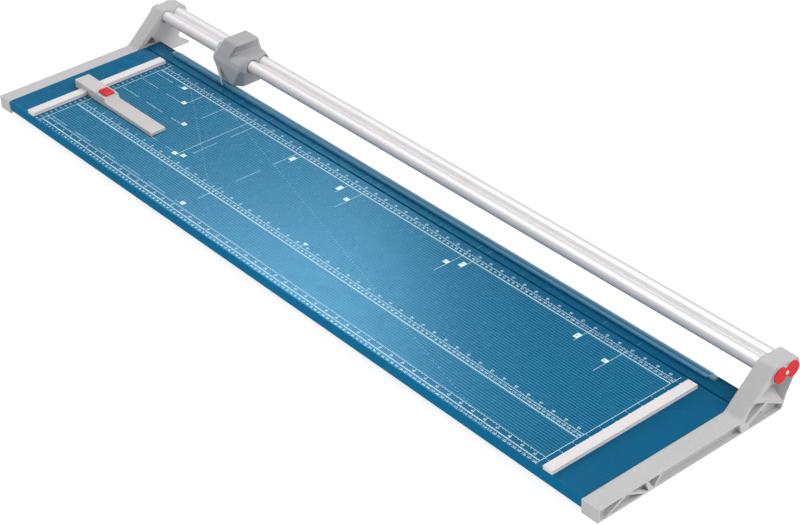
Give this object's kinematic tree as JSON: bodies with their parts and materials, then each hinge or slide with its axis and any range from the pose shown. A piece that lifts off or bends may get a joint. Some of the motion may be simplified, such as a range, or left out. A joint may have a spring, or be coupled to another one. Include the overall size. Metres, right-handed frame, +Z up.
{
  "type": "rotary paper trimmer",
  "caption": "Large flat rotary trimmer: ruled blue table, twin-tube rail with a sliding round blade head, clear clamping strip, side stops and a sliding backstop.",
  "frame": {"origin": "centre of the trimmer's length and depth, on the surface that its feet stand on", "axes": "+X along the rail towards the right-hand plate, +Y from the user's edge to the cutting rail, +Z up"},
  "size_m": [1.529, 0.39, 0.106],
  "materials": {
    "table_blue": "petrol blue paint with pale print",
    "bed_blue": "petrol blue paint on an aluminium extrusion",
    "plate_grey": "light grey powder coat on an aluminium die casting",
    "dark_steel": "blued steel strip with a ground edge",
    "rail_aluminium": "satin anodised extrusion",
    "zinc_steel": "zinc plated sheet",
    "screw_steel": "plated screws and pins",
    "spring_steel": "spring steel",
    "blade_steel": "ground and honed tool steel",
    "bush_brass": "turned bearing bush",
    "white_plastic": "off-white moulding",
    "slider_plastic": "warm light grey moulding",
    "head_plastic": "mid grey fine grained moulding",
    "clip_plastic": "grey moulded clip",
    "black_plastic": "black engineering plastic",
    "red_plastic": "red moulding",
    "clear_plastic": "clear flexible strip",
    "foot_rubber": "black non-slip rubber"
  },
  "bodies": {
    "base": {"table_sheet": "table_blue", "table_stiffener": "zinc_steel", "blade_bed": "bed_blue", "lower_blade": "dark_steel", "lower_blade_screws": "screw_steel", "stop_bar_left": "white_plastic", "stop_bar_right": "white_plastic", "stop_bar_screws": "screw_steel", "end_plate_left": "plate_grey", "end_plate_right": "plate_grey", "guide_rail": "rail_aluminium", "rail_plugs": "zinc_steel", "rail_bolts": "screw_steel", "rail_cap_left": "red_plastic", "rail_cap_right": "red_plastic", "bed_screws": "screw_steel", "rubber_feet": "foot_rubber", "strip_clips": "clip_plastic", "strip_leaf_springs": "spring_steel"},
    "clamp_strip": {"clamp_strip": "clear_plastic"},
    "cutting_head": {"head_shell": "head_plastic", "glide_bush_left": "black_plastic", "glide_bush_right": "black_plastic", "blade_carrier": "zinc_steel", "carrier_screws": "screw_steel", "blade_axle": "screw_steel", "blade_spring": "spring_steel", "roller_pins": "screw_steel", "cut_indicator": "clip_plastic"},
    "blade_bush": {"axle_bush": "bush_brass"},
    "blade": {"cutting_blade": "blade_steel", "blade_hub": "black_plastic", "hub_rivets": "screw_steel"},
    "press_roller_left": {"press_roller_left": "black_plastic"},
    "press_roller_right": {"press_roller_right": "black_plastic"},
    "backstop": {"backstop_body": "slider_plastic", "button_springs": "spring_steel"},
    "backstop_button": {"backstop_button": "red_plastic"},
    "lock_shoe": {"lock_shoe": "black_plastic"}
  },
  "joints": [
    {"name": "head_slide", "type": "slide", "parent": "base", "child": "cutting_head", "axis": [1, 0, 0], "range_m": [-0.1715, 1.1885]},
    {"name": "blade_float", "type": "slide", "parent": "cutting_head", "child": "blade_bush", "axis": [0, 1, 0], "range_m": [0, 0.0008], "stiffness_N_per_m": 2000, "springref_m": -0.0008, "deforming": ["blade_spring"]},
    {"name": "blade_spin", "type": "hinge", "parent": "blade_bush", "child": "blade", "pos_m": [-0.5085, 0.131, 0.0465], "axis": [0, 1, 0], "continuous": true},
    {"name": "press_roller_left_spin", "type": "hinge", "parent": "cutting_head", "child": "press_roller_left", "pos_m": [-0.5165, 0.1288, 0.0334], "axis": [0, 1, 0], "continuous": true},
    {"name": "press_roller_right_spin", "type": "hinge", "parent": "cutting_head", "child": "press_roller_right", "pos_m": [-0.5005, 0.1288, 0.0334], "axis": [0, 1, 0], "continuous": true},
    {"name": "clamp_strip_press", "type": "slide", "parent": "base", "child": "clamp_strip", "axis": [0, 0, -1], "range_m": [0, 0.0012], "stiffness_N_per_m": 600, "springref_m": -0.002, "deforming": ["strip_leaf_springs"]},
    {"name": "backstop_slide", "type": "slide", "parent": "base", "child": "backstop", "axis": [0, 1, 0], "range_m": [-0.11, 0.138]},
    {"name": "button_press", "type": "slide", "parent": "backstop", "child": "backstop_button", "axis": [0, 0, -1], "range_m": [0, 0.0022], "stiffness_N_per_m": 800, "springref_m": -0.0015, "deforming": ["button_springs"]},
    {"name": "lock_shoe_release", "type": "slide", "parent": "backstop", "child": "lock_shoe", "axis": [1, 0, 0], "range_m": [0, 0.00065]}
  ],
  "couplings": [
    {"joint": "blade_spin", "follows": "head_slide", "rad_per_m": 44.444},
    {"joint": "press_roller_left_spin", "follows": "head_slide", "rad_per_m": 222.22},
    {"joint": "press_roller_right_spin", "follows": "head_slide", "rad_per_m": 222.22},
    {"joint": "lock_shoe_release", "follows": "button_press", "ratio": 0.2727}
  ]
}
